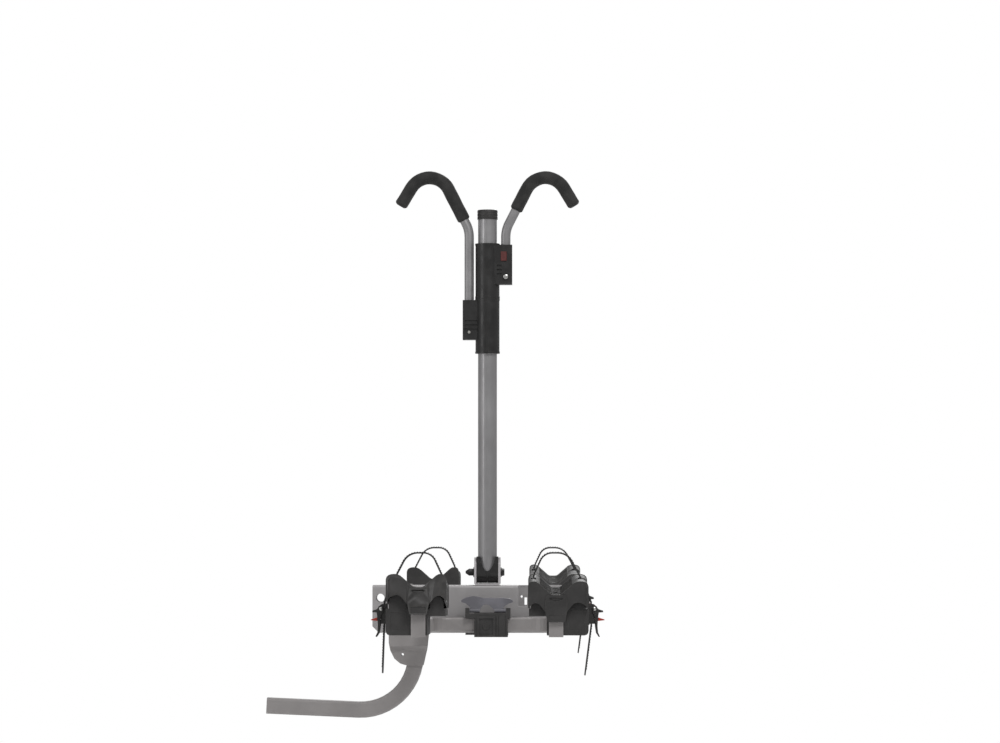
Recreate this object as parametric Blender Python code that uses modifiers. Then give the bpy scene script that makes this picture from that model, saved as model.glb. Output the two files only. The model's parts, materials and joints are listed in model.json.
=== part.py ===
"""Hitch mounted bike rack for two bikes, modelled as separate named pieces.

The sizes are in millimetres and become metres as each mesh is made. The mast axis is x = 0 while the
pieces are built, and the whole rack then moves so that the free end of the shank is the origin.
+X points away from the car, +Y to the far side and +Z up.
"""

import math

import bmesh
import bpy
from mathutils import Matrix, Vector

MM = 0.001
GAP = 0.3  # clearance between pieces that touch or slide

# Hitch tube: a straight shank, one bend and an upright
TUBE = 31.75
TUBE_WALL = 3.0
SHANK_REACH = 444.4  # shank end to the mast axis
SHANK_LENGTH = 295.2  # shank end to the corner of the bend
SHANK_DROOP = math.radians(2.53)
UPRIGHT = 143.5  # corner of the bend to the tube's top
BEND_RADIUS = 110.0

# Spine: an open-bottom channel between two gusset plates
SPINE_HALF_WIDTH = 26.0
SPINE_WALL = 3.5
SPINE_LEFT = -231.0
SPINE_RIGHT = 150.0
SPINE_STEP = 62.4  # the near wall and the top end here
SPINE_STEP_TOP = 200.4
SPINE_BOTTOM = 147.0
SPINE_TOP = 242.4
CORNER_CUT = 13.0  # the lower left corner swings down between the gussets when the platform folds up
GUSSET_THICK = 4.0
GUSSET_SPLAY = (112.0, 122.0)  # the plates step outward between these heights
TILT_AXIS = (-156.0, 228.0)
TILT_BOLT = 5.0
PIN_RADIUS = 7.95
PIN_HOLE = PIN_RADIUS + 0.55
FOLD_HOLE = (-215.2, 217.0)  # meets the gussets' pin hole when the platform is folded up
PIN_REST = SPINE_HALF_WIDTH + GAP + 0.2  # tip of the drawn pin, in the far gusset

# Mast, its bracket and the hooks that slide on it
MAST_RADIUS = 19.05
MAST_WALL = 2.0
BRACKET_FLOOR = 3.5
BOOT_RADIUS = MAST_RADIUS + 2.65
MAST_PIVOT = SPINE_TOP + BRACKET_FLOOR + BOOT_RADIUS + 3 * GAP
MAST_FOOT = 9.0
BOOT_TOP = MAST_PIVOT + 31.5
BOOT_DIP = MAST_PIVOT + 2.5
MAST_TOP = 998.0
EAR_INNER = BOOT_RADIUS + GAP
EAR_THICK = 4.5
EAR_TOP = MAST_PIVOT + 30.0
CAP_RADIUS = MAST_RADIUS + 1.45
CAP_BOTTOM = MAST_TOP - 16.6
CAP_TOP = MAST_TOP + 3.0
COLLAR_RADIUS = MAST_RADIUS + 5.2
COLLAR_HEIGHT = 111.0
UPPER_COLLAR_TOP = 932.3
LOWER_COLLAR_TOP = UPPER_COLLAR_TOP - COLLAR_HEIGHT - 0.5
STEM_X = MAST_RADIUS + 17.95
ARM_RADIUS = 9.5
ARM_WALL = 1.6
FOAM_RADIUS = 13.5
ARM_KNEE = (STEM_X, 960.6)
HOOK_PEAK = (114.5, 1111.9)
HOOK_END = (176.4, 1009.0)

# Wheel frames: U-shaped tubes that fold about their own cross tube
FRAME_X = 8.0
LEG_X = 127.0
LEG_END = 655.0
LEG_WIDTH = 25.4
LEG_HEIGHT = 30.0
LEG_WALL = 2.0
LEG_BEND = 45.0
HINGE_Y = 49.0
HINGE_Z = 164.0
LEG_RISE = math.radians(1.0)
SLEEVE_RADIUS = round(math.hypot(LEG_WIDTH, LEG_HEIGHT) / 2 + 0.15, 1)  # over the tube's corners
BLOCK_HALF = 33.5
LATCH_AXIS = (66.0, 193.0)

# Wheel cups: a base on the leg and a trough that rocks on it
BASE_START = LEG_END - 193.0
BASE_END = LEG_END - 5.0
BASE_TOP = 200.0
CUP_IN = -51.0
CUP_OUT = 59.0
TROUGH_START = BASE_START - 10.0
TROUGH_END = BASE_END + 18.0
TROUGH_AXIS = (BASE_START + 98.0, 212.0)
TROUGH_WALL = 3.5
TROUGH_TIP = math.radians(3.8)
STRAP_WIDTH = 24.0
STRAP_THICK = 2.6
STRAP_U = 66.0
STRAP_ANCHOR = -41.5
LEVER_AXIS = (71.5, 200.0)
TAB_AXIS = (73.5, 181.0)

# Colour (linear), roughness, metallic
LOOKS = {
    "silver_powder_coat": ((0.30, 0.29, 0.29), 0.42, 0.55),
    "light_powder_coat": ((0.42, 0.41, 0.41), 0.45, 0.5),
    "zinc_plate": ((0.62, 0.62, 0.60), 0.3, 1.0),
    "black_steel": ((0.03, 0.03, 0.03), 0.4, 0.6),
    "black_plastic": ((0.035, 0.034, 0.036), 0.5, 0.0),
    "grey_plastic": ((0.14, 0.14, 0.155), 0.45, 0.0),
    "black_foam": ((0.02, 0.02, 0.02), 0.9, 0.0),
    "black_strap": ((0.03, 0.03, 0.03), 0.55, 0.0),
    "red_plastic": ((0.52, 0.035, 0.02), 0.4, 0.0),
}


def clear_scene():
    for obj in list(bpy.data.objects):
        bpy.data.objects.remove(obj)


def make_collection(name, helper=False):
    collection = bpy.data.collections.new(name)
    bpy.context.scene.collection.children.link(collection)
    collection.hide_render = helper
    return collection


def make_materials():
    materials = {}
    for name, (colour, roughness, metallic) in LOOKS.items():
        material = bpy.data.materials.new(name)
        material.use_nodes = True
        shader = material.node_tree.nodes["Principled BSDF"]
        shader.inputs["Base Color"].default_value = (*colour, 1.0)
        shader.inputs["Roughness"].default_value = roughness
        shader.inputs["Metallic"].default_value = metallic
        materials[name] = material
    return materials


clear_scene()
RACK = make_collection("hitch_bike_rack")
CUTTERS = make_collection("cutters", helper=True)
MATERIALS = make_materials()


# Outlines and paths, in millimetres


def circle(radius, count=24, centre=(0.0, 0.0)):
    turns = [2 * math.pi * i / count for i in range(count)]
    return [(centre[0] + radius * math.cos(t), centre[1] + radius * math.sin(t)) for t in turns]


def rectangle(a, b):
    return [(a[0], b[0]), (a[1], b[0]), (a[1], b[1]), (a[0], b[1])]


def rounded_rectangle(width, height, corner, steps=3):
    outline = []
    for quarter, (sa, sb) in enumerate([(1, 1), (-1, 1), (-1, -1), (1, -1)]):
        for i in range(steps + 1):
            t = math.pi / 2 * (quarter + i / steps)
            a = sa * (width / 2 - corner) + corner * math.cos(t)
            b = sb * (height / 2 - corner) + corner * math.sin(t)
            outline.append((a, b))
    return outline


def star(inner, outer, points):
    outline = []
    for i in range(points):
        for offset, radius in ((0.0, outer), (0.3, inner), (0.7, inner)):
            t = 2 * math.pi * (i + offset) / points
            outline.append((radius * math.cos(t), radius * math.sin(t)))
    return outline


def arc_corners(points, radii, steps=6):
    """A flat polyline with each inner corner replaced by an arc of its radius."""
    points = [Vector((*p, 0)) for p in points]
    path = [points[0]]
    for before, corner, after, radius in zip(points, points[1:], points[2:], radii):
        a = (before - corner).normalized()
        b = (after - corner).normalized()
        half = a.angle(b) / 2
        centre = corner + (a + b).normalized() * (radius / math.sin(half))
        start = corner + a * (radius / math.tan(half)) - centre
        turn = math.pi - 2 * half
        for i in range(steps + 1):
            spin = Matrix.Rotation(-turn * i / steps, 3, a.cross(b).normalized())
            path.append(centre + spin @ start)
    return path + [points[-1]]


def lengthened(path, reach):
    """The path with both ends drawn out by a reach."""
    first = path[0] + (path[0] - path[1]).normalized() * reach
    last = path[-1] + (path[-1] - path[-2]).normalized() * reach
    return [first] + path[1:-1] + [last]


# Solids


AXES = {
    "x": Matrix(((0, 0, 1, 0), (1, 0, 0, 0), (0, 1, 0, 0), (0, 0, 0, 1))),
    "y": Matrix(((1, 0, 0, 0), (0, 0, 1, 0), (0, 1, 0, 0), (0, 0, 0, 1))),
    "z": Matrix(),
}  # turn a shape's own Z to the axis, and keep its X and Y in x, y, z order


def poly_curve(name, points, closed):
    """A curve of straight pieces through points in millimetres."""
    curve = bpy.data.curves.new(name, "CURVE")
    spline = curve.splines.new("POLY")
    spline.points.add(len(points) - 1)
    for slot, point in zip(spline.points, points):
        slot.co = (*(Vector((*point, 0)[:3]) * MM), 1.0)
    spline.use_cyclic_u = closed
    return curve


def curve_mesh(curve):
    """The curve's surface as a bmesh with its seams welded."""
    guide = bpy.data.objects.new("guide", curve)
    CUTTERS.objects.link(guide)
    graph = bpy.context.evaluated_depsgraph_get()
    mesh = bpy.data.meshes.new_from_object(guide.evaluated_get(graph))
    bm = bmesh.new()
    bm.from_mesh(mesh)
    bmesh.ops.remove_doubles(bm, verts=bm.verts, dist=0.00001)
    bpy.data.objects.remove(guide)
    bpy.data.meshes.remove(mesh)
    bpy.data.curves.remove(curve)
    return bm


class Bench:
    """Makes solids in its own frame and sets them in the world by its placement."""

    def __init__(self, placement=None):
        self.placement = placement or Matrix()

    def solid(self, name, bm, shape, look):
        """Places a bmesh by its shape matrix, then names it as a piece or, without a look, a cutter."""
        bmesh.ops.transform(bm, matrix=self.placement @ shape, verts=bm.verts)
        bmesh.ops.recalc_face_normals(bm, faces=bm.faces)
        mesh = bpy.data.meshes.new(name)
        bm.to_mesh(mesh)
        bm.free()
        mesh.shade_smooth()
        mesh.set_sharp_from_angle(angle=math.radians(38))
        obj = bpy.data.objects.new(name, mesh)
        if look:
            mesh.materials.append(MATERIALS[look])
            RACK.objects.link(obj)
        else:
            CUTTERS.objects.link(obj)
            obj.hide_render = True
            obj.display_type = "WIRE"
        return obj

    def box(self, name, x, y, z, look=None, bevel=0.0):
        bm = bmesh.new()
        bmesh.ops.create_cube(bm, size=1.0)
        spans = [[end * MM for end in span] for span in (x, y, z)]
        centre = Matrix.Translation([(low + high) / 2 for low, high in spans])
        shape = centre @ Matrix.Diagonal([high - low for low, high in spans] + [1.0])
        obj = self.solid(name, bm, shape, look)
        if bevel:
            round_edges(obj, bevel)
        return obj

    def rod(self, name, axis, centre, radius, span, look=None, count=24, end_radius=None):
        """A round bar; an end radius tapers it towards the high end of its span."""
        bm = bmesh.new()
        length = (span[1] - span[0]) * MM
        second = radius if end_radius is None else end_radius
        bmesh.ops.create_cone(
            bm, cap_ends=True, segments=count, radius1=radius * MM, radius2=second * MM, depth=length
        )
        middle = Vector((*centre, (span[0] + span[1]) / 2)) * MM
        return self.solid(name, bm, AXES[axis] @ Matrix.Translation(middle), look)

    def prism(self, name, outline, axis, span, look=None, bevel=0.0):
        """An outline in the two other axes, in x, y, z order, filled and extruded along the axis."""
        curve = poly_curve(name, outline, closed=True)
        curve.dimensions = "2D"
        curve.fill_mode = "BOTH"
        curve.extrude = (span[1] - span[0]) / 2 * MM
        middle = Matrix.Translation((0, 0, (span[0] + span[1]) / 2 * MM))
        obj = self.solid(name, curve_mesh(curve), AXES[axis] @ middle, look)
        if bevel:
            round_edges(obj, bevel)
        return obj

    def sweep(self, name, path, axis, level, section, bore=None, look=None):
        """A section carried along a flat path that lies across the axis, with a bore cut through it."""
        profile = poly_curve(name + "_section", section, closed=True)
        profile.dimensions = "2D"
        rail = poly_curve(name, path, closed=False)
        rail.dimensions = "3D"
        rail.twist_mode = "Z_UP"
        rail.bevel_mode = "OBJECT"
        rail.bevel_object = form = bpy.data.objects.new(name + "_section", profile)
        rail.use_fill_caps = True
        bm = curve_mesh(rail)
        bpy.data.objects.remove(form)
        bpy.data.curves.remove(profile)
        raised = Matrix.Translation((0, 0, level * MM))
        obj = self.solid(name, bm, AXES[axis] @ raised, look)
        if bore:
            cut(obj, self.sweep(name + "_inside", lengthened(path, 5.0), axis, level, bore))
        return obj

    def hinge_at(self, obj, point):
        """Sets the object's origin at a point of this bench's frame."""
        origin = self.placement @ (Vector(point) * MM)
        obj.data.transform(Matrix.Translation(-origin))
        obj.location = origin


def round_edges(obj, width, segments=2):
    modifier = obj.modifiers.new("round_edges", "BEVEL")
    modifier.width = width * MM
    modifier.segments = segments
    modifier.limit_method = "ANGLE"
    modifier.angle_limit = math.radians(40)


def combine(obj, others, operation):
    for other in others:
        modifier = obj.modifiers.new(other.name, "BOOLEAN")
        modifier.operation = operation
        modifier.solver = "EXACT"
        modifier.object = other


def cut(obj, *others):
    combine(obj, others, "DIFFERENCE")


def add(obj, *others):
    combine(obj, others, "UNION")


# Hitch end


def shank_point(along, up=0.0):
    """A point on the line of the shank, and above it at right angles."""
    x = -SHANK_REACH + along * math.cos(SHANK_DROOP) + up * math.sin(SHANK_DROOP)
    z = -along * math.sin(SHANK_DROOP) + up * math.cos(SHANK_DROOP)
    return x, z


def hitch_tube(bench):
    corners = [shank_point(0), shank_point(SHANK_LENGTH), shank_point(SHANK_LENGTH, UPRIGHT)]
    path = arc_corners(corners, [BEND_RADIUS], steps=12)
    inside = TUBE - 2 * TUBE_WALL
    tube = bench.sweep(
        "hitch_tube", path, "y", 0, rounded_rectangle(TUBE, TUBE, 4.0),
        rounded_rectangle(inside, inside, 1.5), "silver_powder_coat",
    )
    hole = bench.rod("hitch_bolt_hole", "y", shank_point(70), 6.6, (TUBE / 2 - 8, TUBE / 2 + 8))
    cut(tube, hole)


def pin_hole():
    """The gussets' pin hole, where the fold hole lands after a quarter turn about the tilt bolt."""
    dx = FOLD_HOLE[0] - TILT_AXIS[0]
    dz = FOLD_HOLE[1] - TILT_AXIS[1]
    return TILT_AXIS[0] - dz, TILT_AXIS[1] + dx


def gusset(bench, name, side):
    """A plate that lies on the tube below its step and on the spine above it."""
    low = TUBE / 2 + GAP
    high = SPINE_HALF_WIDTH + GAP
    start, end = GUSSET_SPLAY
    thick, knee = GUSSET_THICK, 1.6
    sheet = [(low, 70), (low, start), (high, end), (high, 260), (high + thick, 260)]
    sheet += [(high + thick, end - knee), (low + thick, start - knee), (low + thick, 70)]
    outline = [(side * y, z) for y, z in sheet]
    tx, tz = TILT_AXIS
    face = [
        (-161, 81), (-129, 81), (-122, 112), (-119, 140), (-122, 190), (tx + 17, tz),
        (tx + 12, tz + 12), (tx, tz + 17), (tx - 12, tz + 12), (tx - 17, tz),
        (-186, 190), (-198, 150), (-198, 128), (-195, 111), (-187, 95), (-175, 85),
    ]
    plate = bench.prism(name, outline, "x", (-205, -110), "silver_powder_coat")
    span = sorted((side * (low - 5), side * (high + 12)))
    form = bench.prism(name + "_outline", face, "y", span)
    combine(plate, [form], "INTERSECT")
    cut(
        plate,
        bench.rod(name + "_tilt_hole", "y", TILT_AXIS, TILT_BOLT + GAP, span),
        bench.rod(name + "_pin_hole", "y", pin_hole(), PIN_HOLE, span),
        bench.rod(name + "_small_hole", "y", (-170.7, 103), 3.0, span, count=16),
    )


def tilt_hardware(bench):
    outer = SPINE_HALF_WIDTH + GAP + GUSSET_THICK + GAP
    bolt = bench.rod("tilt_bolt", "y", TILT_AXIS, TILT_BOLT, (-outer - 1, outer + 11), "zinc_plate")
    head = bench.rod("tilt_bolt_head", "y", TILT_AXIS, 9.2, (-outer - 6.4, -outer), count=6)
    add(bolt, head)
    nut = bench.rod("tilt_nut", "y", TILT_AXIS, 9.2, (outer, outer + 8.4), "zinc_plate", count=6)
    cut(nut, bench.rod("tilt_nut_bore", "y", TILT_AXIS, TILT_BOLT + GAP, (outer - 5, outer + 15)))


def tilt_pin(bench):
    """The pull pin that locks the platform, drawn back so that the platform is free to tilt."""
    x, z = pin_hole()
    tip = PIN_REST
    pin = bench.rod("tilt_pin", "y", (x, z), PIN_RADIUS, (tip, tip + 66), "zinc_plate")
    collar = bench.rod("tilt_pin_collar", "y", (x, z), 11.0, (tip + 63, tip + 69))
    neck = bench.rod("tilt_pin_neck", "y", (x, z), 4.0, (tip + 65, tip + 82))
    grip = bench.box(
        "tilt_pin_grip", (x - 5, x + 5), (tip + 80, tip + 90), (z - 27, z + 27), bevel=2.5
    )
    add(pin, collar, neck, grip)
    bench.hinge_at(pin, (x, tip, z))


def spine(bench):
    half, wall = SPINE_HALF_WIDTH, SPINE_WALL
    corner = 5.0
    shoulder = []
    for i in range(4):
        t = math.pi / 2 * i / 3
        shoulder.append((half - corner + corner * math.cos(t), SPINE_TOP - corner + corner * math.sin(t)))
    inner_top = SPINE_TOP - wall
    outline = [(half, SPINE_BOTTOM)] + shoulder
    outline += [(-y, z) for y, z in reversed(shoulder)] + [(-half, SPINE_BOTTOM)]
    outline += [(-half + wall, SPINE_BOTTOM), (-half + wall, inner_top)]
    outline += [(half - wall, inner_top), (half - wall, SPINE_BOTTOM)]
    channel = bench.prism("spine", outline, "x", (SPINE_LEFT, SPINE_RIGHT), "silver_powder_coat")
    through = (-half - 5, half + 5)
    step = bench.box(
        "spine_step", (SPINE_STEP, SPINE_RIGHT + 5), (-half - 5, half - wall - 0.5),
        (SPINE_STEP_TOP, SPINE_TOP + 5),
    )
    far = (half - wall - 5, half + 5)
    slot = bench.box("spine_slot", (74.7, 79.8), far, (SPINE_STEP_TOP + 2, 217))
    clear = [
        (SPINE_LEFT - 5, SPINE_BOTTOM - 5), (SPINE_LEFT + CORNER_CUT + 5, SPINE_BOTTOM - 5),
        (SPINE_LEFT - 5, SPINE_BOTTOM + CORNER_CUT + 5),
    ]
    cut(
        channel,
        step,
        bench.prism("spine_corner", clear, "y", through),
        bench.rod("spine_tilt_hole", "y", TILT_AXIS, TILT_BOLT + GAP, through),
        bench.rod("spine_pin_hole", "y", pin_hole(), PIN_HOLE, through),
        bench.rod("spine_fold_hole", "y", FOLD_HOLE, PIN_HOLE, through),
        bench.rod("spine_small_hole", "y", (69.0, 219), 2.2, far, count=12),
        slot,
    )


# Mast and hooks


def mast_bracket(bench):
    bottom = SPINE_TOP + GAP
    inner, outer = EAR_INNER, EAR_INNER + EAR_THICK
    floor = bottom + BRACKET_FLOOR
    outline = [
        (-outer, EAR_TOP), (-outer, bottom + 3), (-outer + 3, bottom), (outer - 3, bottom),
        (outer, bottom + 3), (outer, EAR_TOP), (inner, EAR_TOP), (inner, floor + 0.5),
        (inner - 0.5, floor), (-inner + 0.5, floor), (-inner, floor + 0.5), (-inner, EAR_TOP),
    ]
    bracket = bench.prism("mast_bracket", outline, "y", (-22, 22), "light_powder_coat")
    side = [(-23, bottom - 1), (23, bottom - 1), (23, EAR_TOP - 14), (15, EAR_TOP - 4), (9, EAR_TOP)]
    side += [(-9, EAR_TOP), (-15, EAR_TOP - 4), (-23, EAR_TOP - 14)]
    form = bench.prism("mast_bracket_outline", side, "x", (-outer - 3, outer + 3))
    combine(bracket, [form], "INTERSECT")
    cut(bracket, bench.rod("ear_holes", "x", (0, MAST_PIVOT), 5.1, (-outer - 3, outer + 3)))


def mast(bench):
    bottom = MAST_PIVOT - MAST_FOOT
    span = (bottom, MAST_TOP)
    tube = bench.rod("mast_tube", "z", (0, 0), MAST_RADIUS, span, "silver_powder_coat", 36)
    inside = bench.rod("mast_inside", "z", (0, 0), MAST_RADIUS - MAST_WALL, (bottom - 5, MAST_TOP + 5))
    cut(tube, inside, bench.rod("mast_bolt_hole", "x", (0, MAST_PIVOT), 5.1, (-30, 30)))
    bench.hinge_at(tube, (0, 0, MAST_PIVOT))
    cap = bench.rod("mast_cap", "z", (0, 0), CAP_RADIUS, (CAP_BOTTOM, CAP_TOP), "black_plastic", 32)
    round_edges(cap, 1.5, 1)
    inside = (CAP_BOTTOM - 5, MAST_TOP + GAP)
    cut(cap, bench.rod("cap_bore", "z", (0, 0), MAST_RADIUS + GAP, inside, count=36))


def mast_liner(bench, name, side):
    """Half of the boot round the mast's foot, rounded about the pivot and cut away front and back."""
    span = sorted((side * GAP / 2, side * (EAR_INNER - GAP)))
    turns = [math.pi * (1 + i / 12) for i in range(13)]
    outline = [(BOOT_RADIUS * math.cos(t), MAST_PIVOT + BOOT_RADIUS * math.sin(t)) for t in turns]
    outline += [(BOOT_RADIUS, BOOT_TOP), (-BOOT_RADIUS, BOOT_TOP)]
    liner = bench.prism(name, outline, "x", span, "black_plastic")
    steps = [-17.0 + 3.4 * i for i in range(11)]
    window = [(x, BOOT_DIP + (BOOT_TOP - 1 - BOOT_DIP) * (x / 17.0) ** 2) for x in steps]
    window += [(17.0, BOOT_TOP + 5), (-17.0, BOOT_TOP + 5)]
    foot = MAST_PIVOT - MAST_FOOT - GAP
    cut(
        liner,
        bench.rod(name + "_bore", "z", (0, 0), MAST_RADIUS + GAP, (foot, BOOT_TOP + 5), count=36),
        bench.prism(name + "_window", window, "y", (-BOOT_RADIUS - 5, BOOT_RADIUS + 5)),
        bench.rod(name + "_bolt_hole", "x", (0, MAST_PIVOT), 5.1, (-40, 40)),
    )


def mast_hardware(bench):
    outer = EAR_INNER + EAR_THICK + GAP
    axis = (0, MAST_PIVOT)
    bolt = bench.rod("mast_bolt", "x", axis, 4.75, (-outer - 9, outer + 1), "black_steel")
    add(
        bolt,
        bench.rod("mast_bolt_washer", "x", axis, 10.0, (outer, outer + 1.6)),
        bench.rod("mast_bolt_head", "x", axis, 8.2, (outer + 1, outer + 7.5), count=6, end_radius=6.8),
    )
    outline = [(y, z + MAST_PIVOT) for y, z in star(6.6, 8.2, 6)]
    knob = bench.prism("mast_knob", outline, "x", (-outer - 11, -outer - 1), "black_plastic", bevel=0.8)
    add(
        knob,
        bench.rod("mast_knob_flange", "x", axis, 10.3, (-outer - 1.6, -outer)),
        bench.rod("mast_knob_tip", "x", axis, 2.4, (-outer - 17.4, -outer - 10), end_radius=7.2),
    )
    cut(knob, bench.rod("mast_knob_bore", "x", axis, 4.75 + GAP, (-outer - 9.5, -outer + 3)))
    bench.hinge_at(knob, (-outer, 0, MAST_PIVOT))


def collar(bench, prefix, top):
    """A sleeve on the mast with a side block at +X that holds the hook's stem."""
    name = prefix + "_collar"
    block_top = top - 3.0
    block_bottom = block_top - 80.0
    body = bench.rod(name, "z", (0, 0), COLLAR_RADIUS, (top - COLLAR_HEIGHT, top), "black_plastic", 36)
    block = bench.box(
        name + "_block", (14, 50), (-20, 13), (block_bottom, block_top), bevel=2.5
    )
    add(body, block)
    stem = bench.rod(
        name + "_stem_bore", "z", (STEM_X, 0), ARM_RADIUS + GAP, (block_bottom + 6, top + 5)
    )
    bore = bench.rod(
        name + "_bore", "z", (0, 0), MAST_RADIUS + GAP, (top - COLLAR_HEIGHT - 5, top + 5), count=36
    )
    bolt_z = block_bottom + 15.0
    bolt_hole = bench.rod(name + "_bolt_hole", "y", (STEM_X, bolt_z), 3.3, (-25, 18), count=16)
    button_z = (block_top - 33, block_top - 14)
    pocket = bench.box(
        name + "_pocket", (27 - GAP, 39 + GAP), (-25, -12.5), (button_z[0] - GAP, button_z[1] + GAP)
    )
    cut(body, bore, stem, bolt_hole, pocket)
    bench.hinge_at(body, (0, 0, top))

    bolt = bench.rod(prefix + "_block_bolt", "y", (STEM_X, bolt_z), 3.0, (-21, 12), "zinc_plate", 16)
    add(bolt, bench.rod(name + "_bolt_head", "y", (STEM_X, bolt_z), 4.8, (-23.5, -20 - GAP), count=16))
    button = bench.box(
        prefix + "_button", (27, 39), (-23, -16.0), button_z, "red_plastic", bevel=0.8
    )
    bench.hinge_at(button, (33, -23, sum(button_z) / 2))
    return block_bottom + 6 + GAP, bolt_z


def hook(bench, prefix, stem_bottom, bolt_z, foam_start):
    """A bent tube that rises from its collar and turns down outside it, with a foam sleeve."""
    corners = [(STEM_X, stem_bottom), ARM_KNEE, HOOK_PEAK, HOOK_END]
    down = (Vector(HOOK_PEAK) - Vector(HOOK_END)).normalized()
    tube_end = Vector(HOOK_END) + down * 10.0
    tube_path = arc_corners(corners[:3] + [tube_end], [60.0, 43.0])
    arm = bench.sweep(
        prefix + "_arm", tube_path, "y", 0, circle(ARM_RADIUS, 16),
        circle(ARM_RADIUS - ARM_WALL, 12), "silver_powder_coat",
    )
    cut(arm, bench.rod(prefix + "_arm_hole", "y", (STEM_X, bolt_z), 3.3, (-15, 15), count=16))

    knee, peak = Vector(ARM_KNEE), Vector(HOOK_PEAK)
    start = knee + (peak - knee).normalized() * foam_start
    foam_path = arc_corners([start, HOOK_PEAK, HOOK_END], [43.0])
    foam = bench.sweep(prefix + "_foam", foam_path, "y", 0, circle(FOAM_RADIUS, 20), look="black_foam")
    round_edges(foam, 4.0, 2)
    early = knee + (peak - knee).normalized() * (foam_start - 5)
    late = Vector(HOOK_END) + down * 9.5
    bore_path = arc_corners([early, HOOK_PEAK, late], [43.0])
    bore = bench.sweep(prefix + "_foam_bore", bore_path, "y", 0, circle(ARM_RADIUS + GAP, 16))
    cut(foam, bore)


# Wheel frames


def side_matrix(side):
    """Mirrors the far side's design to the near side."""
    return Matrix.Scale(side, 4, (0, 1, 0)) if side < 0 else Matrix()


def risen(side):
    """A side's frame at rest: its legs rise a little outward from the hinge."""
    hinge = Matrix.Translation(Vector((0, HINGE_Y, HINGE_Z)) * MM)
    return side_matrix(side) @ hinge @ Matrix.Rotation(LEG_RISE, 4, "X") @ hinge.inverted()


def wheel_frame(bench, prefix):
    left, right = FRAME_X - LEG_X, FRAME_X + LEG_X
    corners = [(left, LEG_END), (left, HINGE_Y), (right, HINGE_Y), (right, LEG_END)]
    path = arc_corners(corners, [LEG_BEND, LEG_BEND])
    frame = bench.sweep(
        prefix + "_frame", path, "z", HINGE_Z, rounded_rectangle(LEG_WIDTH, LEG_HEIGHT, 4.0),
        look="silver_powder_coat",
    )
    bottom = HINGE_Z - LEG_HEIGHT / 2 - 0.6
    inside = bench.sweep(
        prefix + "_frame_inside", lengthened(path, -1.0), "z", HINGE_Z,
        rounded_rectangle(LEG_WIDTH - 2 * LEG_WALL, LEG_HEIGHT - 2 * LEG_WALL, 2.0),
    )
    holes = []
    for label, x in (("left", left), ("right", right)):
        plate = bench.box(
            f"{prefix}_{label}_stop", (x - 13.4, x + 13.4), (LEG_END - 0.5, LEG_END + 3.5),
            (bottom, bottom + 42.6), bevel=1.0,
        )
        add(frame, plate)
        pinch_at = (TROUGH_AXIS[0] - 40, HINGE_Z)
        holes.append(
            bench.rod(f"{prefix}_{label}_pinch_hole", "x", pinch_at, 3.6, (x - 20, x + 20), count=16)
        )
    cut(frame, inside, *holes)
    bench.hinge_at(frame, (FRAME_X, HINGE_Y, HINGE_Z))

    sleeve = bench.rod(
        prefix + "_sleeve", "x", (HINGE_Y, HINGE_Z), SLEEVE_RADIUS,
        (FRAME_X - BLOCK_HALF + 1, FRAME_X + BLOCK_HALF - 1), "zinc_plate", 36,
    )
    hole = rounded_rectangle(LEG_WIDTH + 2 * GAP, LEG_HEIGHT + 2 * GAP, 4.0)
    hole = [(a + HINGE_Y, b + HINGE_Z) for a, b in hole]
    cut(sleeve, bench.prism(prefix + "_sleeve_hole", hole, "x", (-60, 80)))


def fold_block(bench, prefix):
    """The housing on the spine's side in which the sleeve turns, with lugs for the latch handle."""
    name = prefix + "_block"
    left, right = FRAME_X - BLOCK_HALF, FRAME_X + BLOCK_HALF
    back = SPINE_HALF_WIDTH + GAP
    block = bench.box(name, (left, right), (back, 76), (140, 188), "black_plastic", bevel=2.0)
    y, z = LATCH_AXIS
    for label, low, high, foot in (("left", -43.5, -35.5, left), ("right", 38.5, 47.0, right)):
        near, far = sorted((foot + (8 if label == "left" else -8), low if label == "left" else high))
        arm = bench.box(f"{name}_{label}_arm", (near, far), (y - 8, y + 8), (178, 187))
        lug = bench.box(f"{name}_{label}_lug", (low, high), (y - 7, y + 7), (180, z + 5), bevel=1.5)
        add(block, arm, lug)
    tab = bench.box(name + "_tab", (-43, left + 4), (69, 74.5), (144.5, 148.5))
    add(block, tab)
    cut(
        block,
        bench.rod(name + "_bore", "x", (HINGE_Y, HINGE_Z), SLEEVE_RADIUS + GAP, (-60, 80), count=36),
        bench.rod(name + "_latch_hole", "x", LATCH_AXIS, 2.5 + GAP, (-60, 80), count=16),
    )


def latch_handle(bench, prefix):
    """The two-winged handle that frees the fold. It turns about two short pins in the block's lugs."""
    name = prefix + "_latch"
    y, z = LATCH_AXIS
    outline = [
        (-52.6, 212.5), (-51, 209.5), (-44, 207.5), (-38.5, 203.5), (-34, 199.5), (-32.7, z), (-14.5, z),
        (-11.5, 199), (-8, 203.5), (-2, 205), (4, 203.5), (10, 198.5), (14.5, z), (30, z),
        (32, 197), (36.5, 202.5), (43, 206.5), (51, 209), (52.6, 212), (48, 216), (34, 218.5),
        (16, 217.5), (4, 218), (-6, 217.5), (-16, 220), (-28, 222), (-40, 219.5), (-48, 216),
    ]
    handle = bench.prism(name, outline, "y", (y - 3.5, y + 3.5), "grey_plastic", bevel=1.0)
    barrels = (
        bench.rod(name + "_left_barrel", "x", LATCH_AXIS, 4.2, (-35.5 + GAP, -14.5)),
        bench.rod(name + "_right_barrel", "x", LATCH_AXIS, 4.2, (14.5, 38.5 - GAP)),
        bench.rod(name + "_left_pin", "x", LATCH_AXIS, 2.5, (-42, -20), count=16),
        bench.rod(name + "_right_pin", "x", LATCH_AXIS, 2.5, (20, 46), count=16),
    )
    add(handle, *barrels)
    bench.hinge_at(handle, (0, *LATCH_AXIS))


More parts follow.
